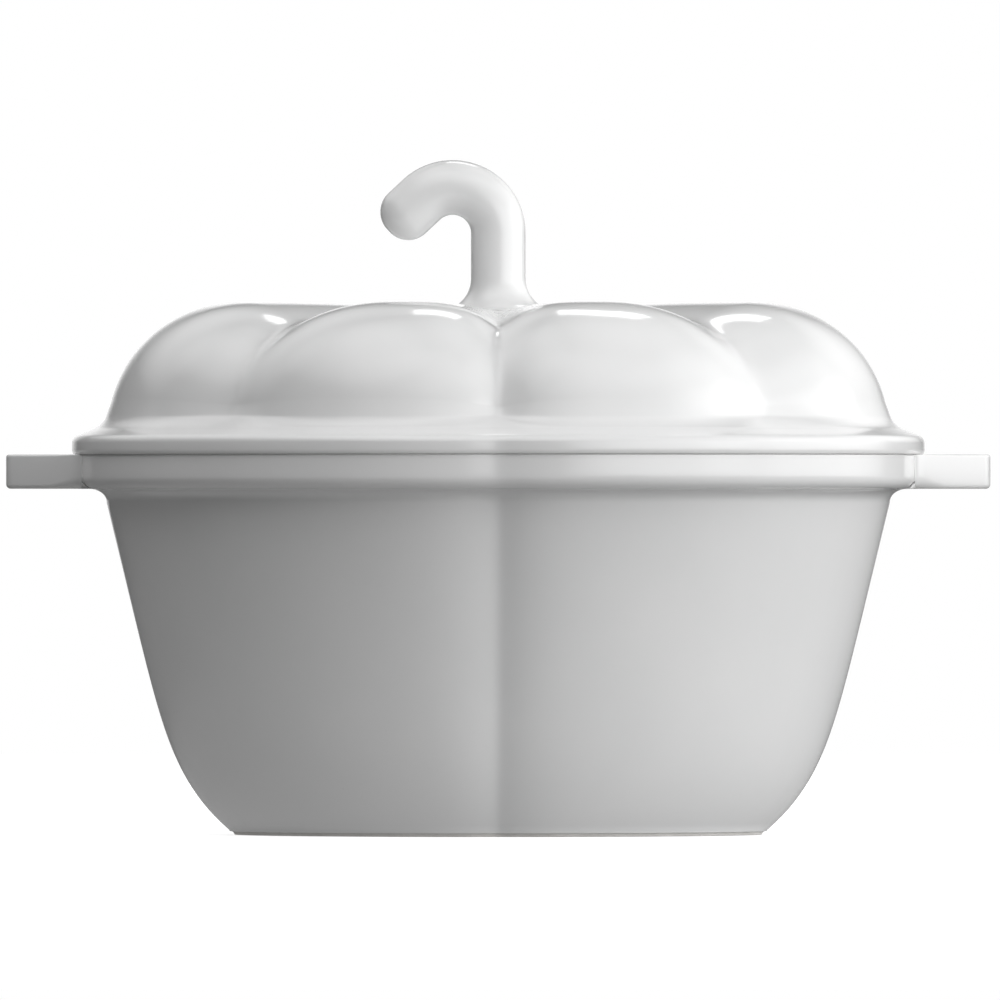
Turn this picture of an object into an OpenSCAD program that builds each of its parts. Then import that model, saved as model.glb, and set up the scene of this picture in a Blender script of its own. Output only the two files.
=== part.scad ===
// Covered casserole in glazed porcelain, moulded as a lobed pumpkin.
// Origin: centre of the foot, on the table. +Z up, +X towards the right handle, -Y is the front.
// Every ring of the lobed shells is drawn at its size on the crest of a lobe, and dips in at the grooves.

/* [Bowl] */
// Distance from handle tip to handle tip
overall_w = 280; // [274:1:290]
// Height of the rim above the table
rim_z = 108.2; // [105:0.1:111]
// Outer radius of the wall just under the rim band
wall_r = 113; // [112:0.1:114.5]
// How far the wall leans in from the rim band down to the foot
wall_flare = 23.1; // [21:0.1:25]
// Extra tuck of the wall just above the foot
foot_tuck = 13.8; // [11:0.1:15]
// How suddenly the wall tucks in: a higher power keeps the tuck nearer the foot
tuck_power = 7; // [5:1:9]
// Thickness of the bowl wall
bowl_wall = 5; // [4:0.1:6]
// Height of the inside floor above the table
floor_z = 8.5; // [7.5:0.1:10]
// Radius of the inside corner between floor and wall
floor_fillet = 22; // [16:1:26]

/* [Rim band] */
// Outer radius of the band around the rim
band_r = 122.4; // [121:0.1:122.8]
// Height of the band
band_h = 9.8; // [9:0.1:11]
// Radius of the band's rolled lower edge
band_roll = 3.6; // [2:0.1:4]
// Radius of the inside of the mouth
mouth_r = 108; // [107:0.1:109]

/* [Foot] */
// Height of the unglazed foot ring
foot_h = 1; // [0.8:0.1:2]
// Inner radius of the foot ring
foot_inner_r = 64; // [60:0.5:67]
// Depth of the hollow under the bowl, above the top of the foot ring
foot_recess = 1.7; // [1:0.1:2]

/* [Handles] */
// Half width of a handle at its tip
lug_tip_half = 14; // [12:0.5:16]
// Radius of the rounded tip corners, seen from above
lug_corner_r = 6; // [4:0.5:8]
// Direction that a handle's slanted sides face, in degrees from the direction that its tip faces
lug_side_angle = 49; // [45:1:58]
// Radius of the concave blend between a handle's side and the band
lug_blend_r = 10; // [6:1:14]
// How deep the handle root is set into the band
lug_set_in = 6.8; // [6.8:0.1:9]

/* [Lid] */
// Height of the lobes' crown above the table
crown_z = 151.3; // [150:0.1:153]
// Height of the flat hub under the stem
hub_z = 149.3; // [148:0.1:149.5]
// Radius of the flat hub under the stem
hub_r = 17.4; // [17:0.1:20]
// Radius at which the crown rolls over into the shoulder
shoulder_start_r = 77; // [73:0.5:79]
// Outer radius at the foot of the shoulder
shoulder_r = 113.8; // [112.5:0.1:114.5]
// Height at which the shoulder would stand upright
shoulder_foot_z = 114.2; // [113.5:0.1:115.5]
// Roundness of the shoulder: 2 is an ellipse, more is squarer
shoulder_power = 2; // [1.9:0.05:2.4]
// Outer radius of the lid's flange
flange_r = 123.4; // [122.5:0.1:124.5]
// Thickness of the flange at its edge
flange_h = 5.4; // [5:0.1:6]
// Gap between the flange and the rim
seat_gap = 0.2; // [0.2:0.05:0.5]
// Thickness of the lid wall
lid_wall = 5; // [4:0.1:6]

/* [Locating ring] */
// Depth of the ring that hangs inside the mouth
ring_h = 8; // [6:0.5:10]
// Thickness of the ring
ring_wall = 4.5; // [3.5:0.1:5]
// Gap between the ring and the mouth
ring_gap = 1.5; // [1:0.1:2]

/* [Lobes] */
// Depth on the dome of the four main grooves
dome_main_groove = 9; // [6:0.1:10]
// Depth on the dome of the four side grooves between them
dome_side_groove = 7; // [4:0.1:9]
// Depth of the main grooves on the flange and the band
band_main_groove = 3.2; // [1.5:0.1:4]
// Depth of the side grooves on the flange and the band
band_side_groove = 0.8; // [0:0.1:1.5]
// Depth of the main grooves on the wall of the bowl
wall_main_groove = 3.6; // [2:0.1:4]
// Depth of the main grooves at the foot, as a share of their depth on the wall
foot_groove_share = 0.8; // [0.4:0.05:1]

/* [Stem] */
// Diameter of the stem
stem_d = 15.6; // [14.6:0.1:16.5]
// Radius of the stem's bend, along its centre line
bend_r = 13; // [12:0.1:14]
// Height of the top of the stem above the table
stem_top_z = 192; // [188:0.5:196]
// Angle that the stem turns through in its bend
bend_angle = 133; // [120:1:140]
// Length of the straight end after the bend
hook_len = 12.9; // [11:0.1:15]
// Radius of the rounded edge of the stem's end
hook_round = 7.2; // [3:0.1:7.4]
// Radius of the fillet where the stem meets the lid
stem_fillet = 9; // [7:0.1:9]

/* [Smoothness] */
// Facets across one lobe, from groove to groove
lobe_steps = 12; // [8:2:14]

/* [Hidden] */

LOBES = 8;
LOBE_ANGLE = 360 / LOBES;
HALF_LOBE = LOBE_ANGLE / 2;
FRONT = -90;
ROUND_FN = 64;
PORCELAIN = [0.95, 0.95, 0.94];
BISQUE = [0.87, 0.83, 0.77];
STEPS_ROUND = LOBES * lobe_steps;

// Softness of the groove bottoms in degrees round the object
MAIN_SOFT = 1.2;
SIDE_SOFT = 2.5;
// How soon the lobes roll into the grooves; the main ones are narrower on the dome and on the wall
MAIN_ROLL = 3;
DOME_ROLL = 4;
WALL_ROLL = 4.5;
SIDE_ROLL = 2.2;
// How far the facets are drawn towards the grooves: 0 is evenly spaced
STEP_CROWDING = 0.5;

// Radii between which the dome's grooves grow to their full depth
GROOVE_START_R = 14;
GROOVE_FULL_R = 95;
// Heights above the flange between which the dome's grooves fade into the flange's own
GROOVE_FADE_LOW = 5.8;
GROOVE_FADE_HIGH = 11;
// Share of the rim's height over which the main grooves deepen from the foot
FOOT_GROOVE_RISE = 0.4;
// Distances below the rim between which the side grooves fade out on the bowl
SIDE_FADE_TOP = 8;
SIDE_FADE_END = 20;

// Rounded edge of the rim, rounded nose and lower edge of the flange, and how far the flange's top rises
RIM_EDGE = 0.9;
FLANGE_NOSE = 2.6;
FLANGE_UNDER_W = 0.8;
FLANGE_UNDER_H = 1.6;
FLANGE_RISE = 1.2;
// Fillet under the band, and fillet between the shoulder and the flange
UNDER_BAND_H = 4;
FLANGE_FILLET_W = 5.6;
FLANGE_FILLET_H = 6.2;
// Share of the inside corner's radius at which the slope of the wall above it is taken
CORNER_RISE = 0.6;
// Slope of the step into the hollow under the bowl, and slack of the lid's cavity outside its ring
RECESS_SLOPE = 1.5;
CAVITY_SLACK = 0.5;
STEM_FOOT_EDGE = 0.4;
STEM_SINK = 0.01;
// Facets of the handles' roots, concave blends and rounded corners
ROOT_STEPS = 5;
BLEND_STEPS = 6;
CORNER_STEPS = 5;

band_bottom_z = rim_z - band_h;
wall_top_z = band_bottom_z - UNDER_BAND_H;
flange_z = rim_z + seat_gap;
flange_top_z = flange_z + flange_h;
cavity_r = mouth_r - ring_gap - ring_wall + CAVITY_SLACK;
shoulder_w = shoulder_r - shoulder_start_r;
shoulder_h = crown_z - shoulder_foot_z;
stem_r = stem_d / 2;
bend_z = stem_top_z - stem_r - bend_r;
lug_tip_x = overall_w / 2;

// --- Lobes ---

function smooth(low, high, v) =
    let (t = min(1, max(0, (v - low) / (high - low))))
    t * t * (3 - 2 * t);
function between(a, b, share) = a + (b - a) * share;

// Angle of one facet corner round the object, counted from the front groove
function step_angle(i) =
    let (share = i / lobe_steps)
    FRONT + LOBE_ANGLE * (share - STEP_CROWDING * sin(360 * share) / (2 * PI));

// Which groove a facet corner is nearest to, and how many degrees it is from it
function nearest_groove(i) = round(step_angle(i) / LOBE_ANGLE - FRONT / LOBE_ANGLE);
function groove_distance(i) = abs(step_angle(i) - FRONT - nearest_groove(i) * LOBE_ANGLE);

// 1 at the bottom of a groove, 0 on the crest of a lobe
function groove_share(distance, soft) =
    max(0, 1 - (norm([distance, soft]) - soft) / (norm([HALF_LOBE, soft]) - soft));

IS_MAIN = [for (i = [0:STEPS_ROUND - 1]) nearest_groove(i) % 2 == 0];
SHARE = [
    for (i = [0:STEPS_ROUND - 1])
        groove_share(groove_distance(i), IS_MAIN[i] ? MAIN_SOFT : SIDE_SOFT)
];

// A ring is its radius and height on the crests, the unit direction [out, up] that the grooves cut
// against, the depths of the main and the side grooves, and the roll of the main grooves
function ring(r, z, out, up, main, side, roll = MAIN_ROLL) = [r, z, out, up, main, side, roll];
function ring_depth(g, i) = IS_MAIN[i] ? g[4] * pow(SHARE[i], g[6]) : g[5] * pow(SHARE[i], SIDE_ROLL);
function ring_corner(g, i) =
    let (depth = ring_depth(g, i), r = g[0] - g[2] * depth, a = step_angle(i))
    [r * cos(a), r * sin(a), g[1] - g[3] * depth];
function flat_corner(g, i) = let (p = ring_corner(g, i)) [p[0], p[1]];

// Closed solid of revolution with lobes: the first and the last ring are closed by flat discs
module lobed_solid(rings) {
    count = len(rings);
    last = count - 1;
    corners = [for (g = rings, i = [0:STEPS_ROUND - 1]) ring_corner(g, i)];
    sides = [
        for (j = [0:count - 2], i = [0:STEPS_ROUND - 1])
            let (
                next = (i + 1) % STEPS_ROUND,
                a = j * STEPS_ROUND + i,
                b = j * STEPS_ROUND + next,
                c = (j + 1) * STEPS_ROUND + next,
                d = (j + 1) * STEPS_ROUND + i
            )
            each [[a, b, c], [a, c, d]]
    ];
    top = [for (i = [0:STEPS_ROUND - 1]) STEPS_ROUND - 1 - i];
    bottom = [for (i = [0:STEPS_ROUND - 1]) last * STEPS_ROUND + i];
    polyhedron(points = corners, faces = concat([top], sides, [bottom]));
}

// --- Bowl ---

// The wall's grooves turn into the band's over the fillet under the band
function band_share(z) = smooth(wall_top_z, band_bottom_z, z);
function wall_main(z) =
    wall_main_groove * between(foot_groove_share, 1, smooth(0, rim_z * FOOT_GROOVE_RISE, z));
function bowl_main(z) = between(wall_main(z), band_main_groove, band_share(z));
function bowl_side(z) = band_side_groove * smooth(rim_z - SIDE_FADE_END, rim_z - SIDE_FADE_TOP, z);
function bowl_roll(z) = between(WALL_ROLL, MAIN_ROLL, band_share(z));
function bowl_ring(r, z) = ring(r, z, 1, 0, bowl_main(z), bowl_side(z), bowl_roll(z));

// Share of the way down from the top of the wall to the table
function wall_drop(z) = 1 - z / wall_top_z;
function wall_outer(z) = wall_r - wall_flare * wall_drop(z) - foot_tuck * pow(wall_drop(z), tuck_power);
// How fast the wall widens with height, and the wall's thickness measured level
function wall_slope(z) =
    (wall_flare + foot_tuck * tuck_power * pow(wall_drop(z), tuck_power - 1)) / wall_top_z;
function wall_level(z) = bowl_wall * norm([1, wall_slope(z)]);
function wall_inner(z) = wall_outer(z) - wall_level(z);

// The floor's rounded corner ends where the wall has the same slope
corner_angle = atan(wall_slope(floor_z + floor_fillet * CORNER_RISE));
corner_r = wall_inner(floor_z + floor_fillet * (1 - sin(corner_angle))) - floor_fillet * cos(corner_angle);

module bowl() {
    corner_steps = 4;
    roll_angles = [0, 30, 60, 90];
    fillet_angles = [65, 35];
    inner_heights = [32, 46, 62, 78, 92];
    outer_heights = [wall_top_z, 82, 68, 54, 42, 31, 22, 15, 9.5, 5, foot_h];
    inner_top_z = rim_z - RIM_EDGE;
    roll_z = band_bottom_z + band_roll;
    roll_r = band_r - band_roll;
    color(PORCELAIN)
        lobed_solid([
            // Floor and its rounded corner
            for (s = [0:corner_steps])
                let (a = 90 + (corner_angle - 90) * s / corner_steps)
                bowl_ring(corner_r + floor_fillet * cos(a), floor_z + floor_fillet * (1 - sin(a))),
            // Inside of the wall
            for (z = inner_heights) bowl_ring(wall_inner(z), z),
            // Mouth and rim
            bowl_ring(mouth_r, inner_top_z),
            bowl_ring(mouth_r + RIM_EDGE, rim_z),
            bowl_ring(band_r - RIM_EDGE, rim_z),
            bowl_ring(band_r, inner_top_z),
            // Rolled lower edge of the band
            for (a = roll_angles)
                bowl_ring(roll_r + band_roll * cos(a), roll_z - band_roll * sin(a)),
            // Fillet under the band
            for (a = fillet_angles)
                bowl_ring(
                    roll_r - (roll_r - wall_r) * cos(a),
                    wall_top_z + UNDER_BAND_H * sin(a)
                ),
            // Outside of the wall
            for (z = outer_heights) bowl_ring(wall_outer(z), z),
            // Seat of the foot ring, and the hollow inside it
            ring(foot_inner_r, foot_h, 1, 0, 0, 0),
            ring(foot_inner_r - RECESS_SLOPE, foot_h + foot_recess, 1, 0, 0, 0)
        ]);
}

module foot_ring() {
    edge = bowl_ring(wall_outer(0), 0);
    color(BISQUE)
        linear_extrude(foot_h)
            difference() {
                polygon([for (i = [0:STEPS_ROUND - 1]) flat_corner(edge, i)]);
                circle(r = foot_inner_r, $fn = ROUND_FN);
            }
}

// --- Handles ---

// Flat lug: rounded tip corners, straight slanted sides, and a concave arc that blends them into the band.
// The upper half of its outline, from root to tip, is worked out here and mirrored for the lower half.
function arc_points(centre, r, from, to, steps) =
    [for (s = [0:steps]) let (a = from + (to - from) * s / steps) centre + r * [cos(a), sin(a)]];

function lug_half_outline() =
    let (
        // Direction square to the slanted side, out of the lug, and direction along it towards the root
        out = [cos(lug_side_angle), sin(lug_side_angle)],
        back = [-sin(lug_side_angle), cos(lug_side_angle)],
        corner = [lug_tip_x - lug_corner_r, lug_tip_half - lug_corner_r],
        // The blend's centre is one blend radius off the side and off the band
        start = corner + out * (lug_corner_r + lug_blend_r),
        along = start * back,
        reach = -along - sqrt(along * along - start * start + pow(band_r + lug_blend_r, 2)),
        centre = start + back * reach,
        root_angle = atan2(centre[1], centre[0])
    )
    concat(
        arc_points([0, 0], band_r - lug_set_in, 0, root_angle, ROOT_STEPS),
        arc_points(centre, lug_blend_r, root_angle - 180, lug_side_angle - 180, BLEND_STEPS),
        arc_points(corner, lug_corner_r, lug_side_angle, 0, CORNER_STEPS)
    );

module lug() {
    upper = lug_half_outline();
    lower = [for (i = [len(upper) - 1:-1:1]) [upper[i][0], -upper[i][1]]];
    linear_extrude(band_h)
        polygon(concat(upper, lower));
}

module right_handle() {
    color(PORCELAIN)
        translate([0, 0, band_bottom_z])
            lug();
}

module left_handle() {
    color(PORCELAIN)
        translate([0, 0, band_bottom_z])
            mirror([1, 0, 0])
                lug();
}

// --- Lid ---

function dome_fade(z) = smooth(flange_z + GROOVE_FADE_LOW, flange_z + GROOVE_FADE_HIGH, z);
function dome_grow(r) = min(1, max(0, (r - GROOVE_START_R) / (GROOVE_FULL_R - GROOVE_START_R)));
function dome_depth(r, z, dome, band) = between(band, dome * dome_grow(r), dome_fade(z));
function dome_ring(p, out, up) =
    ring(
        p[0], p[1], out, up,
        dome_depth(p[0], p[1], dome_main_groove, band_main_groove),
        dome_depth(p[0], p[1], dome_side_groove, band_side_groove),
        between(MAIN_ROLL, DOME_ROLL, dome_fade(p[1]))
    );
// A ring of the dome, moved inwards by the given thickness
function dome_skin(p, normal, thickness) =
    let (unit = normal / norm(normal), g = dome_ring(p, unit[0], unit[1]))
    ring(g[0] - unit[0] * thickness, g[1] - unit[1] * thickness, g[2], g[3], g[4], g[5], g[6]);

function crown_point(r) =
    let (rest = 1 - (r - hub_r) / (shoulder_start_r - hub_r))
    [r, crown_z - (crown_z - hub_z) * rest * rest];
function crown_normal(r) =
    let (rest = 1 - (r - hub_r) / (shoulder_start_r - hub_r))
    [-2 * (crown_z - hub_z) * rest / (shoulder_start_r - hub_r), 1];

function shoulder_point(a) = [
    shoulder_start_r + shoulder_w * pow(cos(a), 2 / shoulder_power),
    shoulder_foot_z + shoulder_h * pow(sin(a), 2 / shoulder_power)
];
function shoulder_normal(a) = [
    pow(cos(a), 2 - 2 / shoulder_power) / shoulder_w,
    pow(sin(a), 2 - 2 / shoulder_power) / shoulder_h
];
function flange_ring(r, z) = ring(r, z, 1, 0, band_main_groove, band_side_groove);

module lid() {
    crown_radii = [28, 40, 54];
    shoulder_angles = [90, 72, 58, 45, 33, 23, 14];
    inner_angles = [14, 30, 50, 70, 90];
    inner_radii = [54, 36];
    fillet_angles = [16, 45, 80];
    nose_angles = [75, 35];
    under_angles = [0, 45, 90];
    fillet_z = flange_top_z + FLANGE_RISE + FLANGE_FILLET_H;
    fillet_r = shoulder_r + FLANGE_FILLET_W;
    nose_r = flange_r - FLANGE_NOSE;
    nose_z = flange_top_z - FLANGE_NOSE;
    under_r = flange_r - FLANGE_UNDER_W;
    under_z = flange_z + FLANGE_UNDER_H;
    color(PORCELAIN)
        lobed_solid([
            // Hub and crown
            ring(hub_r, hub_z, 0, 1, 0, 0),
            for (r = crown_radii) dome_skin(crown_point(r), crown_normal(r), 0),
            // Shoulder
            for (a = shoulder_angles) dome_skin(shoulder_point(a), shoulder_normal(a), 0),
            // Fillet between the shoulder and the flange
            for (a = fillet_angles)
                dome_ring([fillet_r - FLANGE_FILLET_W * cos(a), fillet_z - FLANGE_FILLET_H * sin(a)], 1, 0),
            // Rounded nose and lower edge of the flange
            for (a = nose_angles)
                flange_ring(nose_r + FLANGE_NOSE * cos(a), nose_z + FLANGE_NOSE * sin(a)),
            for (a = under_angles)
                flange_ring(under_r + FLANGE_UNDER_W * cos(a), under_z - FLANGE_UNDER_H * sin(a)),
            // Cavity
            flange_ring(cavity_r, flange_z),
            for (a = inner_angles) dome_skin(shoulder_point(a), shoulder_normal(a), lid_wall),
            for (r = inner_radii) dome_skin(crown_point(r), crown_normal(r), lid_wall),
            ring(hub_r, hub_z - lid_wall, 0, 1, 0, 0)
        ]);
}

module locating_ring() {
    outer = flange_ring(mouth_r - ring_gap, flange_z);
    inner = flange_ring(mouth_r - ring_gap - ring_wall, flange_z);
    color(PORCELAIN)
        translate([0, 0, flange_z - ring_h])
            linear_extrude(ring_h)
                difference() {
                    polygon([for (i = [0:STEPS_ROUND - 1]) flat_corner(outer, i)]);
                    polygon([for (i = [0:STEPS_ROUND - 1]) flat_corner(inner, i)]);
                }
}

// --- Stem ---

// Flared foot of the stem, a ring of concave fillet round a straight core
module stem_foot() {
    fillet_steps = 12;
    centre_z = hub_z + STEM_FOOT_EDGE + stem_fillet;
    curve = [
        for (s = [0:fillet_steps])
            let (a = 90 * s / fillet_steps)
            [stem_r + stem_fillet * (1 - sin(a)), centre_z - stem_fillet * cos(a)]
    ];
    rotate_extrude($fn = ROUND_FN)
        polygon(concat([[0, hub_z], [stem_r + stem_fillet, hub_z]], curve, [[0, centre_z]]));
}

// Straight end of the stem, rounded at its edge, standing on the XY plane
module stem_end() {
    round_steps = 8;
    curve = [
        for (s = [0:round_steps])
            let (a = 90 * s / round_steps)
            [stem_r - hook_round + hook_round * cos(a), hook_len - hook_round + hook_round * sin(a)]
    ];
    rotate_extrude($fn = ROUND_FN)
        polygon(concat([[0, -STEM_SINK], [stem_r, -STEM_SINK]], curve, [[0, hook_len]]));
}

module stem() {
    core_z = hub_z + STEM_FOOT_EDGE + stem_fillet;
    color(PORCELAIN)
        union() {
            stem_foot();
            translate([0, 0, core_z - STEM_SINK])
                cylinder(r = stem_r, h = bend_z - core_z + 2 * STEM_SINK, $fn = ROUND_FN);
            translate([-bend_r, 0, bend_z])
                rotate([90, 0, 0])
                    rotate_extrude(angle = bend_angle, $fn = ROUND_FN)
                        translate([bend_r, 0])
                            circle(r = stem_r, $fn = ROUND_FN);
            translate([-bend_r, 0, bend_z])
                rotate([0, -bend_angle, 0])
                    translate([bend_r, 0, 0])
                        stem_end();
        }
}

bowl();
foot_ring();
left_handle();
right_handle();
lid();
locating_ring();
stem();
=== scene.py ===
"""Looks of a covered casserole: glazed porcelain, moulded as a lobed pumpkin, on a white table.

Metres, in the frame of the CAD: +Z up, +X towards the right handle, -Y is the front. A shell is a stack
of rings. A ring has the size that it has on the crest of a lobe, and dips in at the grooves.
"""

import math

import bmesh
import bpy
import numpy as np
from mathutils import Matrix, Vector


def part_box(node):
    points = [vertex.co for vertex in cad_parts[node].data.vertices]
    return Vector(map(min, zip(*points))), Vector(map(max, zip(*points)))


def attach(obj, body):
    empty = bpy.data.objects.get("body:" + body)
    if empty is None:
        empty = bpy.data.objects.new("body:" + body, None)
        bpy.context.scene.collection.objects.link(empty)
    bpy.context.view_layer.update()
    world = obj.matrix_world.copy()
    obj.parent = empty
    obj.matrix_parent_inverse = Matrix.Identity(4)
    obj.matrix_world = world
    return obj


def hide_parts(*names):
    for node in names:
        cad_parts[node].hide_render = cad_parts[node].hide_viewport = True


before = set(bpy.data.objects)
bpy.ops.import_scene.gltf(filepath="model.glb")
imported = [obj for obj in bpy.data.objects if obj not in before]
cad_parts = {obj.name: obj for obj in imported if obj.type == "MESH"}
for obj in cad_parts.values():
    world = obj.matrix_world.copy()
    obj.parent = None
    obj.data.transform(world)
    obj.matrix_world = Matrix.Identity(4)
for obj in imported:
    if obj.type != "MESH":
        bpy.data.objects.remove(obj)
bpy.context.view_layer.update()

MM = 0.001
DISH = "dish"
COVER = "cover"

# --- Sizes ---

# Heights and reaches that the CAD holds
RIM_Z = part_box("bowl")[1].z
BAND_BOTTOM_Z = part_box("right_handle")[0].z
HANDLE_TIP_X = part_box("right_handle")[1].x
FOOT_TOP_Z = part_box("foot_ring")[1].z
FLANGE_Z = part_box("lid")[0].z
CROWN_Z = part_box("lid")[1].z
RING_BOTTOM_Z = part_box("locating_ring")[0].z
STEM_TOP_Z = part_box("stem")[1].z

# Bowl
WALL_R = 113.0 * MM
WALL_FLARE = 23.1 * MM
FOOT_TUCK = 13.8 * MM
TUCK_POWER = 7
BOWL_WALL = 5.0 * MM
INSIDE_FLOOR_Z = 8.5 * MM
FLOOR_FILLET = 22.0 * MM
CORNER_RISE = 0.6
BAND_R = 122.4 * MM
BAND_ROLL = 3.6 * MM
MOUTH_R = 108.0 * MM
MOUTH_H = 9.0 * MM
MOUTH_BEND = 3.0 * MM
RIM_EDGE = 0.9 * MM
BAND_TOP_EDGE = 0.35 * MM
UNDER_BAND_H = 4.0 * MM
WALL_TOP_Z = BAND_BOTTOM_Z - UNDER_BAND_H

# Foot
FOOT_INNER_R = 64.0 * MM
FOOT_RECESS = 1.7 * MM
RECESS_SOFT = 0.8 * MM
GLAZE_BEAD = 0.35 * MM
FOOT_EDGE = 0.5 * MM
SINK = 0.05 * MM

# Handles
LUG_TIP_HALF = 14.0 * MM
LUG_CORNER_R = 6.0 * MM
LUG_SIDE_ANGLE = 49.0
LUG_BLEND_R = 10.0 * MM
LUG_SET_IN = 4.2 * MM
LUG_TOP_EDGE = 0.8 * MM
LUG_BOTTOM_EDGE = 1.3 * MM
LUG_BLEND_REACH = 7.0 * MM
LUG_EDGE_FROM = 0.35
LUG_THIN = 0.6

# Lid
HUB_Z = CROWN_Z - 2.0 * MM
HUB_R = 17.4 * MM
SHOULDER_START_R = 77.0 * MM
SHOULDER_R = 113.8 * MM
SHOULDER_FOOT_Z = 114.2 * MM
SHOULDER_POWER = 2.0
SHOULDER_END = 14.0
FLANGE_R = 123.35 * MM
FLANGE_H = 5.4 * MM
FLANGE_NOSE = 2.6 * MM
FLANGE_UNDER_W = 0.8 * MM
FLANGE_UNDER_H = 1.6 * MM
FLANGE_UNDER_END = -62.0
SEAT_Z = FLANGE_Z - 0.17 * MM
CAVITY_EDGE = 0.8 * MM
FLANGE_SLOPE = 19.0
FLANGE_FILLET_W = 5.6 * MM
FLANGE_FILLET_H = 6.2 * MM
FILLET_START = 16.0
FLANGE_RISE = 1.2 * MM
LID_WALL = 5.0 * MM
CAVITY_R = 102.5 * MM

# Locating ring under the lid
RING_OUTER_R = 106.5 * MM
RING_INNER_R = 102.0 * MM
RING_EDGE = 1.4 * MM

# Lobes and the grooves between them
LOBES = 8
LOBE_ANGLE = 360 / LOBES
HALF_LOBE = LOBE_ANGLE / 2
FRONT = -90.0
LOBE_STEPS = 40
STEP_CROWDING = 0.75
MAIN_SOFT = 1.2
MAIN_ROLL = 3
DOME_ROLL = 4
WALL_ROLL = 4.5
SIDE_SOFT = 2.5
SIDE_ROLL = 2.2
DOME_MAIN = 9.0 * MM
DOME_SIDE = 7.0 * MM
BAND_MAIN = 3.2 * MM
BAND_SIDE = 0.8 * MM
WALL_MAIN = 3.6 * MM
GROOVE_START_R = 14.0 * MM
GROOVE_FULL_R = 95.0 * MM
GROOVE_FADE_LOW = FLANGE_Z + 5.8 * MM
GROOVE_FADE_HIGH = FLANGE_Z + 11.0 * MM
FOOT_GROOVE_SHARE = 0.8
FOOT_GROOVE_RISE = 0.4
SIDE_FADE_TOP = 8.0 * MM
SIDE_FADE_END = 20.0 * MM

# Stem
STEM_R = 7.8 * MM
BEND_R = 13.0 * MM
BEND_ANGLE = 133.0
HOOK_LEN = 12.9 * MM
HOOK_ROUND = 7.2 * MM
STEM_FILLET = 9.0 * MM
STEM_SKIRT = 0.5 * MM
STEM_FOOT_START = 12.0
STEM_SIDES = 64

# Glaze thin over edges; hollows and grooves darker, as gathered glaze and painted shade: bends per metre of
# profile
THIN_FROM, THIN_FULL = 250.0, 1100.0
POOL_AND_SHADE_FROM, POOL_AND_SHADE_FULL = 60.0, 400.0
POOL_AND_SHADE_DEPTH = 3.0 * MM


# --- Profiles: points are (radius, height) ---

def smooth(low, high, value):
    t = min(1.0, max(0.0, (value - low) / (high - low)))
    return t * t * (3 - 2 * t)


def arc(centre, reach, start, stop, steps):
    """Elliptical arc. reach is its half width and half height, and the angles are in degrees."""
    angles = np.radians(np.linspace(start, stop, steps + 1))
    return [(centre[0] + reach[0] * math.cos(a), centre[1] + reach[1] * math.sin(a)) for a in angles]


def line(start, stop, steps):
    """Points from start up to but not including stop."""
    return [tuple(np.array(start) + (np.array(stop) - start) * s / steps) for s in range(steps)]


# A ring is (radius, height, out, up, main, side, roll): its size on the crests, the unit direction that
# the grooves cut against, the depths of the main and the side grooves, and how narrow the main ones are.

def wall_drop(z):
    return 1 - z / WALL_TOP_Z


def wall_outer(z):
    return WALL_R - WALL_FLARE * wall_drop(z) - FOOT_TUCK * wall_drop(z) ** TUCK_POWER


def wall_slope(z):
    return (WALL_FLARE + FOOT_TUCK * TUCK_POWER * wall_drop(z) ** (TUCK_POWER - 1)) / WALL_TOP_Z


def wall_inner(z):
    return wall_outer(z) - BOWL_WALL * math.hypot(1, wall_slope(z))


def between(a, b, share):
    return a + (b - a) * share


def bowl_ring(r, z, share=1.0):
    """Ring of the bowl: the wall's grooves turn into the band's over the fillet under the band."""
    band = smooth(WALL_TOP_Z, BAND_BOTTOM_Z, z)
    wall_main = WALL_MAIN * between(FOOT_GROOVE_SHARE, 1, smooth(0, RIM_Z * FOOT_GROOVE_RISE, z))
    main = between(wall_main, BAND_MAIN, band)
    side = BAND_SIDE * smooth(RIM_Z - SIDE_FADE_END, RIM_Z - SIDE_FADE_TOP, z)
    return (r, z, 1, 0, main * share, side * share, between(WALL_ROLL, MAIN_ROLL, band))


def plain_ring(r, z):
    return (r, z, 1, 0, 0, 0, MAIN_ROLL)


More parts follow.
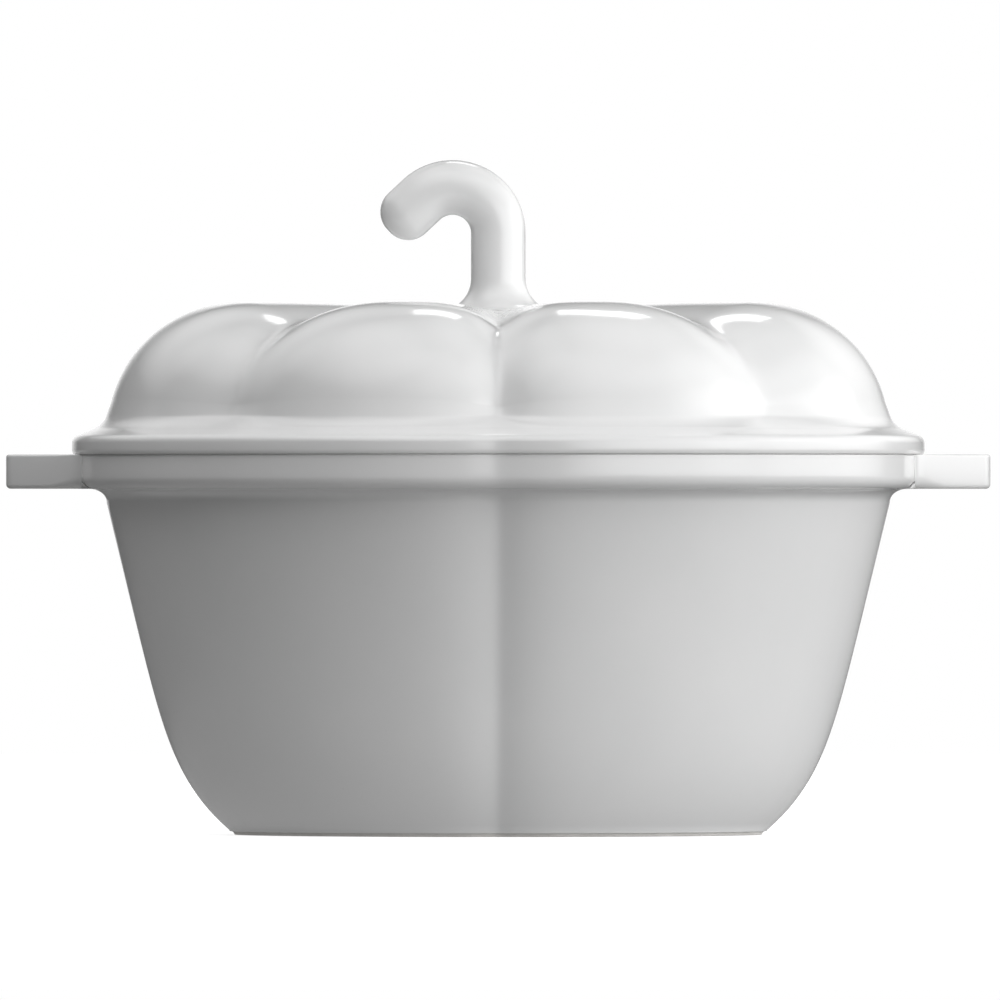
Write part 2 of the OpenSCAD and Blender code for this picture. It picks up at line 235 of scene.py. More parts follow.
def bowl_rings():
    corner_angle = math.degrees(math.atan(wall_slope(INSIDE_FLOOR_Z + FLOOR_FILLET * CORNER_RISE)))
    corner_top_z = INSIDE_FLOOR_Z + FLOOR_FILLET * (1 - math.sin(math.radians(corner_angle)))
    corner_r = wall_inner(corner_top_z) - FLOOR_FILLET * math.cos(math.radians(corner_angle))
    mouth_z = RIM_Z - MOUTH_H
    rim_edge, band_edge = (RIM_EDGE, RIM_EDGE), (BAND_TOP_EDGE, BAND_TOP_EDGE)
    roll_r = BAND_R - BAND_ROLL
    bead_z = FOOT_TOP_Z + GLAZE_BEAD
    bead_r = wall_outer(bead_z) - GLAZE_BEAD
    hollow_z = FOOT_TOP_Z + FOOT_RECESS
    wall = [
        # Inside corner, inside of the wall, and the rim
        *arc(
            (corner_r, INSIDE_FLOOR_Z + FLOOR_FILLET), (FLOOR_FILLET, -FLOOR_FILLET), 90, corner_angle, 14
        ),
        *[(wall_inner(z), z) for z in np.linspace(corner_top_z, mouth_z - MOUTH_BEND, 22)[1:]],
        *line((wall_inner(mouth_z), mouth_z), (MOUTH_R, RIM_Z - RIM_EDGE), 6),
        *arc((MOUTH_R + RIM_EDGE, RIM_Z - RIM_EDGE), rim_edge, 180, 90, 5),
        *line((MOUTH_R + 2 * RIM_EDGE, RIM_Z), (BAND_R - BAND_TOP_EDGE, RIM_Z), 4),
        *arc((BAND_R - BAND_TOP_EDGE, RIM_Z - BAND_TOP_EDGE), band_edge, 90, 0, 5),
        # Band, its rolled lower edge, and the fillet under it
        *line((BAND_R, RIM_Z - 2 * BAND_TOP_EDGE), (BAND_R, BAND_BOTTOM_Z + BAND_ROLL), 4),
        *arc((roll_r, BAND_BOTTOM_Z + BAND_ROLL), (BAND_ROLL, BAND_ROLL), 0, -82, 8),
        *arc((roll_r, WALL_TOP_Z), (WALL_R - roll_r, UNDER_BAND_H), 78, 0, 8),
        # Outside of the wall, and the bead in which the glaze ends
        *[(wall_outer(z), z) for z in np.linspace(WALL_TOP_Z, bead_z, 48)[1:]],
        *arc((bead_r, bead_z), (GLAZE_BEAD, GLAZE_BEAD), -30, -90, 3),
    ]
    hollow = [
        *arc((FOOT_INNER_R - RECESS_SOFT, FOOT_TOP_Z), (RECESS_SOFT, hollow_z - FOOT_TOP_Z), 0, 90, 8),
    ]
    return [
        *[bowl_ring(r, INSIDE_FLOOR_Z, r / corner_r) for r in np.linspace(0.1, 1, 9)[:-1] * corner_r],
        *[bowl_ring(r, z) for r, z in wall],
        *[plain_ring(r, z) for r, z in hollow],
        *[plain_ring(r, hollow_z) for r in np.linspace(0.95, 0.1, 9) * hollow[-1][0]],
    ]


def foot_rings():
    """Bare ring under the bowl, closed round its section."""
    edge = (FOOT_EDGE, FOOT_EDGE)
    top_r = wall_outer(FOOT_TOP_Z) - GLAZE_BEAD
    low_r = wall_outer(FOOT_EDGE) - GLAZE_BEAD
    outer = [(top_r, FOOT_TOP_Z + SINK), *arc((low_r - FOOT_EDGE, FOOT_EDGE), edge, 0, -90, 5)]
    inner = [*arc((FOOT_INNER_R + FOOT_EDGE, FOOT_EDGE), edge, -90, -180, 5)]
    inner += [(FOOT_INNER_R, FOOT_TOP_Z + SINK)]
    flat = [(r, 0.0) for r in np.linspace(outer[-1][0], inner[0][0], 7)[1:-1]]
    lobed = [bowl_ring(r, z, smooth(FOOT_INNER_R, outer[-1][0], r)) for r, z in outer + flat]
    return lobed + [plain_ring(r, z) for r, z in inner]


def crown_ring(r, thickness=0.0):
    """Ring of the lid from the hub to where the shoulder starts, moved inwards by the thickness."""
    rest = max(0.0, 1 - (r - HUB_R) / (SHOULDER_START_R - HUB_R)) if r > HUB_R else 1.0
    slope = 2 * (CROWN_Z - HUB_Z) * rest / (SHOULDER_START_R - HUB_R) if r > HUB_R else 0.0
    return dome_ring((r, CROWN_Z - (CROWN_Z - HUB_Z) * rest ** 2), (-slope, 1), thickness)


def shoulder_ring(angle, thickness=0.0):
    c, s = math.cos(math.radians(angle)), math.sin(math.radians(angle))
    w, h = SHOULDER_R - SHOULDER_START_R, CROWN_Z - SHOULDER_FOOT_Z
    power = 2 / SHOULDER_POWER
    point = (SHOULDER_START_R + w * c ** power, SHOULDER_FOOT_Z + h * s ** power)
    return dome_ring(point, (c ** (2 - power) / w, s ** (2 - power) / h), thickness)


def dome_ring(point, normal, thickness=0.0):
    r, z = point
    out, up = np.array(normal) / math.hypot(*normal)
    grow = min(1.0, max(0.0, (r - GROOVE_START_R) / (GROOVE_FULL_R - GROOVE_START_R)))
    fade = smooth(GROOVE_FADE_LOW, GROOVE_FADE_HIGH, z)
    main = between(BAND_MAIN, DOME_MAIN * grow, fade)
    side = between(BAND_SIDE, DOME_SIDE * grow, fade)
    roll = between(MAIN_ROLL, DOME_ROLL, fade)
    return (r - out * thickness, z - up * thickness, out, up, main, side, roll)


def flange_ring(r, z):
    return (r, z, 1, 0, BAND_MAIN, BAND_SIDE, MAIN_ROLL)


def lid_rings():
    top_z = FLANGE_Z + FLANGE_H
    fillet = (SHOULDER_R + FLANGE_FILLET_W, top_z + FLANGE_RISE + FLANGE_FILLET_H)
    slope = math.tan(math.radians(FLANGE_SLOPE))
    fillet_end = 180 + math.degrees(math.atan(FLANGE_FILLET_H / FLANGE_FILLET_W / slope))
    nose = (FLANGE_R - FLANGE_NOSE, top_z - FLANGE_NOSE)
    under = (FLANGE_R - FLANGE_UNDER_W, SEAT_Z - FLANGE_UNDER_H * math.sin(math.radians(FLANGE_UNDER_END)))
    cavity_edge = CAVITY_R + CAVITY_EDGE
    fillets = arc(fillet, (FLANGE_FILLET_W, FLANGE_FILLET_H), 180 + FILLET_START, fillet_end, 14)
    flange = [
        *arc(nose, (FLANGE_NOSE, FLANGE_NOSE), 90 - FLANGE_SLOPE, 8, 10),
        *arc(under, (FLANGE_UNDER_W, FLANGE_UNDER_H), 0, FLANGE_UNDER_END, 8),
        *line((under[0] - FLANGE_UNDER_W, SEAT_Z), (cavity_edge, SEAT_Z), 8),
        *arc((cavity_edge, SEAT_Z + CAVITY_EDGE), (CAVITY_EDGE, CAVITY_EDGE), -90, -180, 4),
    ]
    return [
        *[crown_ring(r) for r in np.linspace(0.1, 1, 7)[:-1] * HUB_R],
        *[crown_ring(r) for r in np.linspace(HUB_R, SHOULDER_START_R, 24)[:-1]],
        *[shoulder_ring(a) for a in np.linspace(90, SHOULDER_END, 46)],
        *[dome_ring(point, (1, 0)) for point in fillets],
        *[flange_ring(r, z) for r, z in flange],
        *[shoulder_ring(a, LID_WALL) for a in np.linspace(SHOULDER_END, 90, 34)],
        *[crown_ring(r, LID_WALL) for r in np.linspace(SHOULDER_START_R, HUB_R, 18)[1:]],
        *[crown_ring(r, LID_WALL) for r in np.linspace(0.9, 0.1, 5) * HUB_R],
    ]


def locating_rings():
    edge = (RING_EDGE, RING_EDGE)
    low_z = RING_BOTTOM_Z + RING_EDGE
    section = [
        *line((RING_OUTER_R, FLANGE_Z + SINK), (RING_OUTER_R, low_z), 4),
        *arc((RING_OUTER_R - RING_EDGE, low_z), edge, 0, -90, 6),
        *arc((RING_INNER_R + RING_EDGE, low_z), edge, -90, -180, 6),
        *line((RING_INNER_R, low_z + RING_EDGE), (RING_INNER_R, FLANGE_Z + SINK), 4),
        (RING_INNER_R, FLANGE_Z + SINK),
    ]
    return [flange_ring(r, z) for r, z in section]


# --- Lobes ---

def groove_share(distance, soft):
    """1 at the bottom of a groove, 0 on the crest of a lobe; distance is in degrees round the object."""
    reach = np.hypot(distance, soft) - soft
    return np.maximum(0, 1 - reach / (math.hypot(HALF_LOBE, soft) - soft))


def groove_shares(angles, main_roll):
    """Shares of the main and of the side grooves at these angles."""
    nearest = np.round((angles - FRONT) / LOBE_ANGLE)
    distance = np.abs(angles - FRONT - nearest * LOBE_ANGLE)
    is_main = nearest % 2 == 0
    main = np.where(is_main, groove_share(distance, MAIN_SOFT), 0) ** main_roll
    side = np.where(is_main, 0, groove_share(distance, SIDE_SOFT)) ** SIDE_ROLL
    return main, side


def lobe_angles():
    """Angles of the mesh's columns, drawn towards the grooves."""
    share = np.arange(LOBES * LOBE_STEPS) / LOBE_STEPS
    return FRONT + LOBE_ANGLE * (share - STEP_CROWDING * np.sin(2 * math.pi * share) / (2 * math.pi))


def profile_bend(rings, closed):
    """How sharply the profile bends at each ring, per metre: over an edge it is positive, in a hollow
    negative."""
    points = rings[:, :2]
    if closed:
        before, after = np.roll(points, 1, 0), np.roll(points, -1, 0)
    else:
        before, after = np.vstack([points[:1], points[:-1]]), np.vstack([points[1:], points[-1:]])
    back, ahead = points - before, after - points
    turn = back[:, 1] * ahead[:, 0] - back[:, 0] * ahead[:, 1]
    length = np.linalg.norm(back, axis=1) * np.linalg.norm(ahead, axis=1)
    run = (np.linalg.norm(back, axis=1) + np.linalg.norm(ahead, axis=1)) / 2
    return np.arcsin(np.clip(turn / np.maximum(length, 1e-12), -1, 1)) / np.maximum(run, 1e-6)


def share_of(values, low, high):
    t = np.clip((values - low) / (high - low), 0, 1)
    return t * t * (3 - 2 * t)


# --- Meshes ---

def grid_faces(rows, columns, closed):
    """Quads of a grid that closes on itself round its columns, and round its rows too when closed."""
    last = rows if closed else rows - 1
    j, i = np.meshgrid(np.arange(last), np.arange(columns), indexing="ij")
    up, on = (j + 1) % rows, (i + 1) % columns
    corners = (j * columns + i, j * columns + on, up * columns + on, up * columns + i)
    return np.stack(corners, -1).reshape(-1, 4).tolist()


def end_faces(rows, columns):
    """Triangles from the first and the last row to the two points that follow the grid."""
    ends = ((0, rows * columns), ((rows - 1) * columns, rows * columns + 1))
    return [(first + i, first + (i + 1) % columns, pole) for first, pole in ends for i in range(columns)]


def make_piece(name, points, faces, thin, pool_and_shade):
    """Smooth-shaded mesh object; thin marks thin glaze, the last list hollows darkened by gathered glaze
    and painted shade.
    """
    mesh = bpy.data.meshes.new(name)
    mesh.from_pydata([tuple(p) for p in points], [], faces)
    for label, values in (("thin", thin), ("pool_and_shade", pool_and_shade)):
        layer = mesh.attributes.new(label, "FLOAT", "POINT")
        layer.data.foreach_set("value", np.asarray(values, np.float32))
    shell = bmesh.new()
    shell.from_mesh(mesh)
    bmesh.ops.recalc_face_normals(shell, faces=shell.faces)
    shell.to_mesh(mesh)
    shell.free()
    mesh.shade_smooth()
    piece = bpy.data.objects.new(name, mesh)
    bpy.context.scene.collection.objects.link(piece)
    return piece


def lobed_piece(name, rings, closed=False):
    """Piece from a stack of rings. An open stack is closed with a point at the middle of each end."""
    rings = np.array(rings, float)
    angles = lobe_angles()
    r, z, out, up, main_depth, side_depth, roll = rings.T[:, :, None]
    main, side = groove_shares(angles, roll)
    depth = main * main_depth + side * side_depth
    radius = r - out * depth
    turn = np.radians(angles)
    points = np.stack([radius * np.cos(turn), radius * np.sin(turn), z - up * depth], -1)
    bend = profile_bend(rings, closed)[:, None] + 0 * depth
    thin = share_of(bend, THIN_FROM, THIN_FULL)
    # Painted shade in hollows and grooves, where glaze also gathers: from concave bends and groove depth
    pool_and_shade = np.maximum(share_of(-bend, POOL_AND_SHADE_FROM, POOL_AND_SHADE_FULL), share_of(depth, 0, POOL_AND_SHADE_DEPTH))
    rows, columns = depth.shape
    points, thin, pool_and_shade = points.reshape(-1, 3), thin.ravel(), pool_and_shade.ravel()
    faces = grid_faces(rows, columns, closed)
    if not closed:
        poles = [(0, 0, rings[0, 1]), (0, 0, rings[-1, 1])]
        faces += end_faces(rows, columns)
        points = np.vstack([points, poles])
        thin, pool_and_shade = np.append(thin, [0, 0]), np.append(pool_and_shade, [0, 0])
    return make_piece(name, points, faces, thin, pool_and_shade)


def stem_stations():
    """Stations up the stem and along its hook: distance out from the axis, height, lean and radius."""
    bend_z = STEM_TOP_Z - STEM_R - BEND_R
    foot_z = HUB_Z + STEM_FILLET
    flare = arc((STEM_R + STEM_FILLET, foot_z), (STEM_FILLET, STEM_FILLET), 270 - STEM_FOOT_START, 180, 16)
    stations = [(0, HUB_Z - STEM_SKIRT, 0, flare[0][0])]
    stations += [(0, z, 0, r) for r, z in flare]
    stations += [(0, z, 0, STEM_R) for z in np.linspace(foot_z, bend_z, 9)[1:]]
    for lean in np.linspace(0, BEND_ANGLE, 41)[1:]:
        s, c = math.sin(math.radians(lean)), math.cos(math.radians(lean))
        stations.append((BEND_R * (1 - c), bend_z + BEND_R * s, lean, STEM_R))
    s, c = math.sin(math.radians(BEND_ANGLE)), math.cos(math.radians(BEND_ANGLE))
    end_x, end_z = BEND_R * (1 - c), bend_z + BEND_R * s
    straight_len = HOOK_LEN - HOOK_ROUND
    straight = [(d, STEM_R) for d in np.linspace(0, straight_len, 6)[1:]]
    rounded = arc((straight_len, STEM_R - HOOK_ROUND), (HOOK_ROUND, HOOK_ROUND), 90, 0, 12)[1:]
    stations += [(end_x + d * s, end_z + d * c, BEND_ANGLE, radius) for d, radius in straight + rounded]
    return stations


def stem_piece(name):
    stations = np.array(stem_stations())
    turn = np.radians(np.arange(STEM_SIDES) * 360 / STEM_SIDES)
    out, height, lean, radius = stations.T[:, :, None]
    lean = np.radians(lean)
    across = radius * np.cos(turn)
    points = [across * np.cos(lean) - out, radius * np.sin(turn), height + across * np.sin(lean)]
    points = np.stack(points, -1)
    rows, columns = len(stations), STEM_SIDES
    ends = [points[0].mean(0), points[-1].mean(0)]
    faces = grid_faces(rows, columns, False)
    faces += end_faces(rows, columns)
    # Painted shade in the flare at the stem's foot, where glaze also gathers
    pool_and_shade = share_of(radius - STEM_R, 0, STEM_FILLET) + 0 * across
    points = np.vstack([points.reshape(-1, 3), ends])
    pool_and_shade = np.append(pool_and_shade.ravel(), [0, 0])
    return make_piece(name, points, faces, 0 * pool_and_shade, pool_and_shade)


def band_radius(angle):
    """Radius of the band's face at an angle from the middle of a handle, which is on a main groove."""
    main, side = groove_shares(np.array([angle]), MAIN_ROLL)
    return BAND_R - BAND_MAIN * main[0] - BAND_SIDE * side[0]


def lug_half_outline():
    """Upper half of the right handle seen from above, from its root to its tip: a concave blend off the
    band, a slanted side and a rounded corner."""
    lean = math.radians(LUG_SIDE_ANGLE)
    out = np.array([math.cos(lean), math.sin(lean)])
    back = np.array([-math.sin(lean), math.cos(lean)])
    corner = np.array([HANDLE_TIP_X - LUG_CORNER_R, LUG_TIP_HALF - LUG_CORNER_R])
    start = corner + out * (LUG_CORNER_R + LUG_BLEND_R)
    along = start @ back
    reach = -along - math.sqrt(along ** 2 - start @ start + (BAND_R + LUG_BLEND_R) ** 2)
    blend = start + back * reach
    root_angle = math.degrees(math.atan2(blend[1], blend[0]))
    root = []
    for angle in np.linspace(0, root_angle, 15):
        r, turn = band_radius(angle) - LUG_SET_IN, math.radians(angle)
        root.append((r * math.cos(turn), r * math.sin(turn)))
    blend_r, corner_r = (LUG_BLEND_R, LUG_BLEND_R), (LUG_CORNER_R, LUG_CORNER_R)
    side_start, side_end = blend - out * LUG_BLEND_R, corner + out * LUG_CORNER_R
    return [
        *root,
        *arc(blend, blend_r, root_angle - 180, LUG_SIDE_ANGLE - 180, 12),
        *line(side_start, side_end, 6)[1:],
        *arc(corner, corner_r, LUG_SIDE_ANGLE, 0, 10),
        (HANDLE_TIP_X, (LUG_TIP_HALF - LUG_CORNER_R) / 2),
        (HANDLE_TIP_X, 0.0),
    ]


def lug_piece(name, mirror):
    """Flat handle with rounded edges, as round as the band's own where it grows out of the band."""
    upper = lug_half_outline()
    outline = np.array(upper + [(x, -y) for x, y in upper[-2:0:-1]])
    ahead = np.roll(outline, -1, 0) - np.roll(outline, 1, 0)
    inward = np.stack([ahead[:, 1], -ahead[:, 0]], -1)
    inward /= np.linalg.norm(inward, axis=1)[:, None]
    distance = np.linalg.norm(outline, axis=1) - BAND_R
    free = share_of(distance, 0, LUG_BLEND_REACH)[:, None]
    top_edge = between(BAND_TOP_EDGE, LUG_TOP_EDGE, free)
    bottom_edge = between(BAND_ROLL, LUG_BOTTOM_EDGE, free)
    top_z, levels = RIM_Z - SINK, []
    for a in np.radians(np.linspace(0, 90, 8)):
        height = BAND_BOTTOM_Z + bottom_edge * (1 - math.sin(a))
        levels.insert(0, np.hstack([outline + inward * bottom_edge * (1 - math.cos(a)), height]))
    for a in np.radians(np.linspace(0, 90, 7)):
        height = top_z - top_edge * (1 - math.sin(a))
        levels.append(np.hstack([outline + inward * top_edge * (1 - math.cos(a)), height]))
    points = np.array(levels)
    if mirror:
        points[:, :, 0] *= -1
    rows, columns = points.shape[:2]
    faces = grid_faces(rows, columns, False)
    faces += [tuple(range(columns)), tuple(range((rows - 1) * columns, rows * columns))]
    on_edge = np.abs(np.linspace(-1, 1, rows)) > LUG_EDGE_FROM
    thin = np.repeat(on_edge * LUG_THIN, columns)
    return make_piece(name, points.reshape(-1, 3), faces, thin, 0 * thin)


# --- Materials ---

class Nodes:
    """Small helper to add and join shader nodes."""

    def __init__(self, owner):
        """owner is a material, a light or a world."""
        owner.use_nodes = True
        self.owner = owner
        self.tree = owner.node_tree

    @property
    def shader(self):
        return self.tree.nodes["Principled BSDF"]

    def add(self, kind, **values):
        """New node: names that it has as properties are set there, the others are inputs."""
        node = self.tree.nodes.new(kind)
        for key, value in values.items():
            if hasattr(node, key):
                setattr(node, key, value)
            else:
                self.put(node.inputs[key.replace("_", " ")], value)
        return node

    def put(self, socket, value):
        if isinstance(value, bpy.types.NodeSocket):
            self.tree.links.new(value, socket)
        else:
            socket.default_value = value

    def noise(self, scale, detail=3.0, roughness=0.5):
        values = {"Scale": scale, "Detail": detail, "Roughness": roughness}
        return self.add("ShaderNodeTexNoise", Vector=self.place, **values).outputs["Fac"]

    def attribute(self, name):
        return self.add("ShaderNodeAttribute", attribute_name=name).outputs["Fac"]

    def ramp(self, value, low, high, to_low=0.0, to_high=1.0):
        node = self.add("ShaderNodeMapRange", Value=value)
        for key, number in (("From Min", low), ("From Max", high), ("To Min", to_low), ("To Max", to_high)):
            node.inputs[key].default_value = number
        return node.outputs["Result"]

    def math(self, operation, a, b=0.0):
        node = self.add("ShaderNodeMath", operation=operation)
        self.put(node.inputs[0], a)
        self.put(node.inputs[1], b)
        return node.outputs["Value"]

    def mix(self, factor, a, b):
        node = self.add("ShaderNodeMix", data_type="RGBA")
        self.put(node.inputs["Factor"], factor)
        for socket, value in zip([s for s in node.inputs if s.type == "RGBA"], (a, b)):
            self.put(socket, value)
        return [s for s in node.outputs if s.type == "RGBA"][0]

    def bump(self, height, strength, distance, normal=None):
        node = self.add("ShaderNodeBump", Height=height, Strength=strength, Distance=distance)
        if normal is not None:
            self.put(node.inputs["Normal"], normal)
        return node.outputs["Normal"]

    @property
    def place(self):
        if "object_place" not in self.tree.nodes:
            self.tree.nodes.new("ShaderNodeTexCoord").name = "object_place"
        return self.tree.nodes["object_place"].outputs["Object"]


GLAZE_WHITE = (0.86, 0.86, 0.86, 1)
GLAZE_COOL = (0.835, 0.838, 0.838, 1)
# Grey for hollows and grooves: painted shade, together with glaze gathered there
GLAZE_POOL_AND_SHADE = (0.78, 0.785, 0.785, 1)
GLAZE_THIN = (0.89, 0.887, 0.878, 1)
GLAZE_SPECK = (0.45, 0.42, 0.38, 1)
BARE_BODY = (0.80, 0.785, 0.76, 1)
BARE_DARK = (0.70, 0.685, 0.66, 1)

# Scales of the noises, the middle part of a noise that a ramp spreads out, and how much of a colour
# shows at most
CLOUD_SCALE = 22
UNEVEN_SCALE = 90
GLOSS_SCALE = 160
RIPPLE_SCALE = 55
PEEL_SCALE = 900
SPECK_SCALE = 70.0
WOBBLE_SCALE = 40
TONE_SCALE = 120
GRAIN_SCALE = 1400
NOISE_SOFT = (0.3, 0.7)
NOISE_SHARP = (0.35, 0.65)
POOL_AND_SHADE_SHARE = 0.30
THIN_SHARE = 0.55
SPECK_SHARE = 0.5
SPECK_CORE = 0.018
SPECK_EDGE = 0.036
SPECK_RARITY = 0.93
GLAZE_ROUGHNESS = (0.10, 0.17)
GLAZE_IOR = 1.5
COAT_WEIGHT = 0.35
COAT_ROUGHNESS = 0.04
RIPPLE_H = 0.12 * MM
PEEL_H = 0.02 * MM
BARE_ROUGHNESS = (0.75, 0.92)
BARE_IOR = 1.45
RING_WAVES = 5200.0
RING_WOBBLE = 0.0012
RING_H = 0.05 * MM
GRAIN_H = 0.08 * MM


def glazed_porcelain():
    """White glaze: greyer in hollows and grooves, as gathered glaze and painted shade, warmer where edges
    pull it thin, with the faint orange peel and rare iron specks of fired porcelain."""
    n = Nodes(bpy.data.materials.new("glazed_porcelain"))
    cloud = n.ramp(n.noise(CLOUD_SCALE, 4), *NOISE_SHARP)
    colour = n.mix(cloud, GLAZE_WHITE, GLAZE_COOL)
    uneven = n.ramp(n.noise(UNEVEN_SCALE, 3), *NOISE_SOFT, 0.6, 1.0)
    # Painted shade: hollows and grooves turn greyer, together with the glaze that gathers there
    pooled_and_shaded = n.math("MULTIPLY", n.attribute("pool_and_shade"), uneven)
    colour = n.mix(n.math("MULTIPLY", pooled_and_shaded, POOL_AND_SHADE_SHARE), colour, GLAZE_POOL_AND_SHADE)
    thinned = n.math("MULTIPLY", n.attribute("thin"), uneven)
    colour = n.mix(n.math("MULTIPLY", thinned, THIN_SHARE), colour, GLAZE_THIN)
    cells = n.add("ShaderNodeTexVoronoi", Vector=n.place, Scale=SPECK_SCALE)
    core = n.ramp(cells.outputs["Distance"], SPECK_CORE, SPECK_EDGE, 1.0, 0.0)
    draw = n.add("ShaderNodeSeparateColor", Color=cells.outputs["Color"]).outputs[0]
    speck = n.math("MULTIPLY", core, n.math("GREATER_THAN", draw, SPECK_RARITY))
    colour = n.mix(n.math("MULTIPLY", speck, SPECK_SHARE), colour, GLAZE_SPECK)
    n.put(n.shader.inputs["Base Color"], colour)
    n.put(n.shader.inputs["Roughness"], n.ramp(n.noise(GLOSS_SCALE, 3), *NOISE_SOFT, *GLAZE_ROUGHNESS))
    ripple = n.bump(n.noise(RIPPLE_SCALE, 2, 0.4), 0.35, RIPPLE_H)
    peel = n.bump(n.noise(PEEL_SCALE, 2, 0.5), 0.12, PEEL_H, ripple)
    n.put(n.shader.inputs["Normal"], peel)
    n.shader.inputs["IOR"].default_value = GLAZE_IOR
    n.shader.inputs["Coat Weight"].default_value = COAT_WEIGHT
    n.shader.inputs["Coat Roughness"].default_value = COAT_ROUGHNESS
    n.shader.inputs["Coat IOR"].default_value = GLAZE_IOR
    return n.owner


def unglazed_porcelain():
    """Bare fired body of the foot: matt and sandy, with rings from wiping it on the wheel."""
    n = Nodes(bpy.data.materials.new("unglazed_porcelain"))
    place = n.add("ShaderNodeSeparateXYZ", Vector=n.place)
    flat = n.add("ShaderNodeCombineXYZ", X=place.outputs["X"], Y=place.outputs["Y"])
    radius = n.add("ShaderNodeVectorMath", operation="LENGTH")
    n.put(radius.inputs[0], flat.outputs["Vector"])
    wobble = n.math("MULTIPLY", n.noise(WOBBLE_SCALE, 2), RING_WOBBLE)
    wave = n.math("MULTIPLY", n.math("ADD", radius.outputs["Value"], wobble), RING_WAVES)
    rings = n.math("SINE", wave)
    grain = n.noise(GRAIN_SCALE, 3, 0.7)
    broad = n.math("MULTIPLY", n.noise(TONE_SCALE, 4), 0.7)
    tone = n.math("ADD", broad, n.math("MULTIPLY", grain, 0.3))
    colour = n.mix(n.ramp(tone, *NOISE_SHARP), BARE_BODY, BARE_DARK)
    n.put(n.shader.inputs["Base Color"], colour)
    n.put(n.shader.inputs["Roughness"], n.ramp(grain, *NOISE_SOFT, *BARE_ROUGHNESS))
    turned = n.bump(rings, 0.25, RING_H)
    n.put(n.shader.inputs["Normal"], n.bump(grain, 0.6, GRAIN_H, turned))
    n.shader.inputs["IOR"].default_value = BARE_IOR
    return n.owner


# --- Stage ---

CAMERA_LENS = 1200.0
CAMERA_SENSOR = 36.0
FRAME_WIDTH = 284.7 * MM
FRAME_X = 0.5 * MM
FRAME_Z = 95.2 * MM
FLOOR_RADIUS = 3.0
FLOOR_SIDES = 96

# Panels of light: direction round the object (0 is the front, 90 the right), height above the horizon
# in degrees, distance, width and height in metres, power in watts, and whether it fades to its edges
LIGHTS = {
    "key_low": (40, 8, 1.6, 2.2, 1.2, 10.6, True),
    "key_side": (88, 10, 1.6, 2.4, 1.3, 12.0, True),
    "side_mid": (80, 36, 1.6, 2.2, 1.2, 4.8, True),
    "front_top": (0, 50, 1.7, 3.0, 1.8, 9.8, True),
    "left_top": (282, 62, 1.6, 2.2, 1.6, 7.4, True),
    "overhead": (0, 88, 1.6, 2.2, 1.8, 1.8, True),
    "back_strip": (172, 50, 1.6, 0.5, 0.3, 1.5, False),
    "back_left": (222, 38, 1.6, 2.0, 1.2, 3.5, True),
    "back_right": (130, 24, 1.6, 2.2, 1.2, 4.1, True),
    "backdrop": (184, 6, 1.7, 1.5, 0.8, 1.8, True),
}
PANEL_PEAK = 2.25
AMBIENT = 0.05
FLOOR_WHITE = (0.55, 0.55, 0.55, 1)
FLOOR_PALE = (0.53, 0.53, 0.53, 1)
FLOOR_GLOW = 0.8
FLOOR_GLOW_FAR = 1.0
SHADE_NEAR = 0.12
SHADE_FAR = 0.4
FLOOR_BOUNCE = 0.2
BOUNCE_GLOW = 0.26
BOUNCE_NEAR = 0.08
BOUNCE_FAR = 0.26
TABLE_Z = -0.1 * MM


def add_camera():
    data = bpy.data.cameras.new("camera")
    data.lens = CAMERA_LENS
    data.sensor_width = CAMERA_SENSOR
    data.clip_end = 100.0
    camera = bpy.data.objects.new("camera", data)
    camera.location = (FRAME_X, -FRAME_WIDTH * CAMERA_LENS / CAMERA_SENSOR, FRAME_Z)
    camera.rotation_euler = (math.radians(90), 0, 0)
    bpy.context.scene.collection.objects.link(camera)
    bpy.context.scene.camera = camera


def fade_panel(light):
    """Let a panel fade from its middle to its edges, as the cloth of a softbox does."""
    n = Nodes(light)
    place = n.add("ShaderNodeSeparateXYZ", Vector=n.add("ShaderNodeNewGeometry").outputs["Parametric"])
    across, up = [
        n.math("MULTIPLY", n.math("MULTIPLY", t, 4.0), n.math("SUBTRACT", 1.0, t))
        for t in (place.outputs["X"], place.outputs["Y"])
    ]
    strength = n.math("MULTIPLY", n.math("MULTIPLY", across, up), PANEL_PEAK)
    n.put(n.tree.nodes["Emission"].inputs["Strength"], strength)


def add_light(name, azimuth, elevation, distance, width, height, power, fades):
    a, e = math.radians(azimuth), math.radians(elevation)
    aim = Vector((0, 0, FRAME_Z))
    back = Vector((math.sin(a) * math.cos(e), -math.cos(a) * math.cos(e), math.sin(e)))
    data = bpy.data.lights.new(name, "AREA")
    data.shape = "RECTANGLE"
    data.size, data.size_y = width, height
    data.energy = power
    if fades:
        fade_panel(data)
    light = bpy.data.objects.new(name, data)
    light.location = aim + back * distance
    light.rotation_euler = back.to_track_quat("Z", "Y").to_euler()
    light.visible_camera = False
    bpy.context.scene.collection.objects.link(light)


def add_world():
    """White behind the object, and a soft even light from all round."""
    world = bpy.data.worlds.new("studio")
    world.use_nodes = True
    tree = world.node_tree
    tree.nodes.clear()
    seen, ambient, choice, path, output = [
        tree.nodes.new("ShaderNode" + kind)
        for kind in ("Background", "Background", "MixShader", "LightPath", "OutputWorld")
    ]
    seen.inputs["Strength"].default_value = 1.0
    seen.inputs["Color"].default_value = (1, 1, 1, 1)
    ambient.inputs["Strength"].default_value = AMBIENT
    ambient.inputs["Color"].default_value = (1, 1, 1, 1)
    tree.links.new(path.outputs["Is Camera Ray"], choice.inputs[0])
    tree.links.new(ambient.outputs[0], choice.inputs[1])
    tree.links.new(seen.outputs[0], choice.inputs[2])
    tree.links.new(choice.outputs[0], output.inputs[0])
    bpy.context.scene.world = world


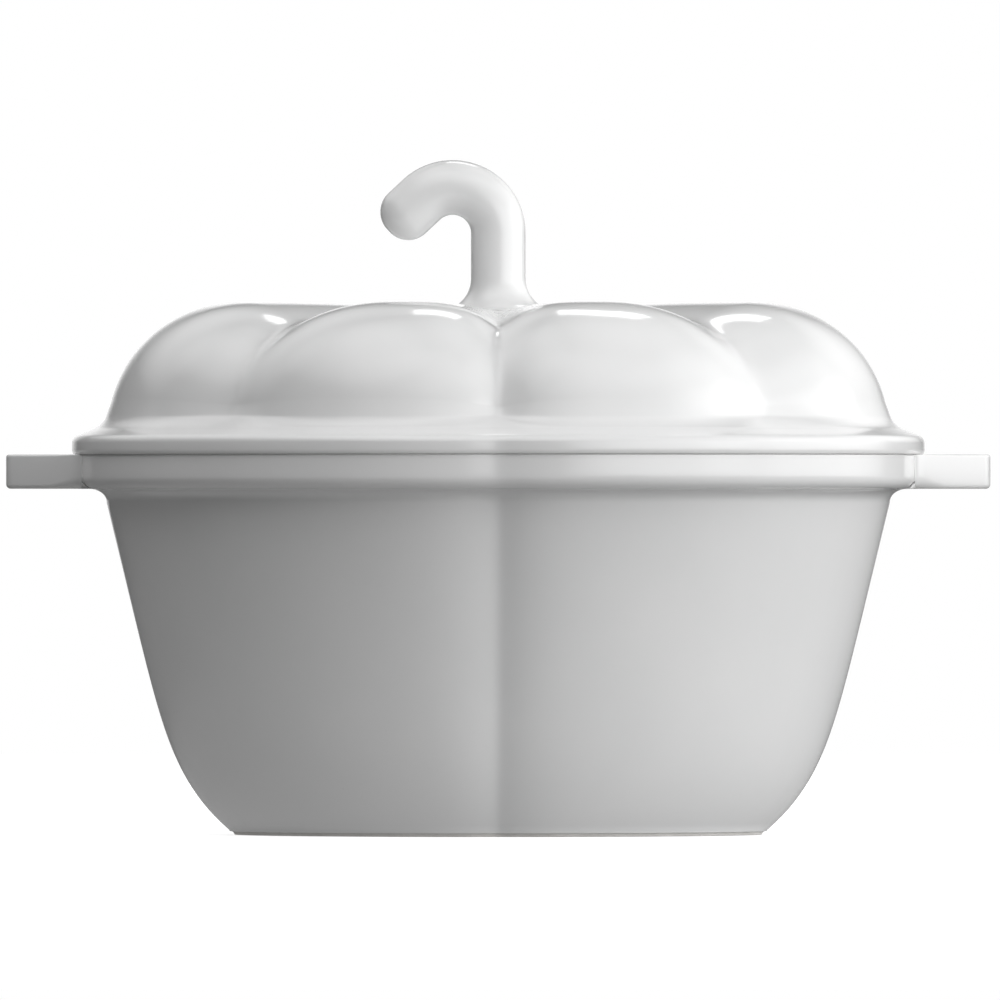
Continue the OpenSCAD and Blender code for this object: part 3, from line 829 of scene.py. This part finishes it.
def add_floor():
    ring = [
        (FLOOR_RADIUS * math.cos(a), FLOOR_RADIUS * math.sin(a), TABLE_Z)
        for a in np.linspace(0, 2 * math.pi, FLOOR_SIDES, endpoint=False)
    ]
    mesh = bpy.data.meshes.new("floor")
    mesh.from_pydata(ring, [], [tuple(range(FLOOR_SIDES))])
    floor = bpy.data.objects.new("floor", mesh)
    bpy.context.scene.collection.objects.link(floor)
    n = Nodes(bpy.data.materials.new("white_table"))
    tone = n.mix(n.noise(3, 2), FLOOR_WHITE, FLOOR_PALE)
    seen = n.add("ShaderNodeAddShader")
    n.put(seen.inputs[0], n.add("ShaderNodeBsdfDiffuse", Color=tone).outputs[0])
    distance = n.add("ShaderNodeVectorMath", operation="LENGTH")
    n.put(distance.inputs[0], n.place)
    # Seen by the camera the floor glows less near the object than far off: a painted shade round its foot
    glow = n.ramp(distance.outputs["Value"], SHADE_NEAR, SHADE_FAR, FLOOR_GLOW, FLOOR_GLOW_FAR)
    n.put(seen.inputs[1], n.add("ShaderNodeEmission", Strength=glow).outputs[0])
    bounced = n.add("ShaderNodeAddShader")
    n.put(bounced.inputs[0], n.add("ShaderNodeBsdfDiffuse", Color=(*[FLOOR_BOUNCE] * 3, 1)).outputs[0])
    # To other rays the floor is dark but glows near the object, lighting it from below
    base_glow = n.ramp(distance.outputs["Value"], BOUNCE_NEAR, BOUNCE_FAR, BOUNCE_GLOW, 0.0)
    n.put(bounced.inputs[1], n.add("ShaderNodeEmission", Strength=base_glow).outputs[0])
    choice = n.add("ShaderNodeMixShader")
    n.put(choice.inputs[0], n.add("ShaderNodeLightPath").outputs["Is Camera Ray"])
    n.put(choice.inputs[1], bounced.outputs[0])
    n.put(choice.inputs[2], seen.outputs[0])
    n.put(n.tree.nodes["Material Output"].inputs["Surface"], choice.outputs[0])
    n.tree.nodes.remove(n.shader)
    mesh.materials.append(n.owner)


# --- The object ---

glaze = glazed_porcelain()
bare = unglazed_porcelain()

PIECES = [
    # piece, CAD body, CAD nodes that it replaces, material slot, material
    (lobed_piece("bowl_shell", bowl_rings()), DISH, "bowl", "glazed_porcelain", glaze),
    (lobed_piece("bare_foot", foot_rings(), closed=True), DISH, "foot_ring", "unglazed_porcelain", bare),
    (lug_piece("handle_left", True), DISH, "left_handle", "glazed_porcelain", glaze),
    (lug_piece("handle_right", False), DISH, "right_handle", "glazed_porcelain", glaze),
    (lobed_piece("lid_shell", lid_rings()), COVER, "lid", "glazed_porcelain", glaze),
    (
        lobed_piece("lid_rim_ring", locating_rings(), closed=True),
        COVER,
        "locating_ring",
        "glazed_porcelain",
        glaze,
    ),
    (stem_piece("curled_stem"), COVER, "stem", "glazed_porcelain", glaze),
]
for piece, body, node, slot, material in PIECES:
    piece.data.materials.append(material)
    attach(piece, body)
    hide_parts(node)

add_camera()
for name, placing in LIGHTS.items():
    add_light(name, *placing)
add_world()
add_floor()
bpy.context.scene.view_settings.view_transform = "Standard"
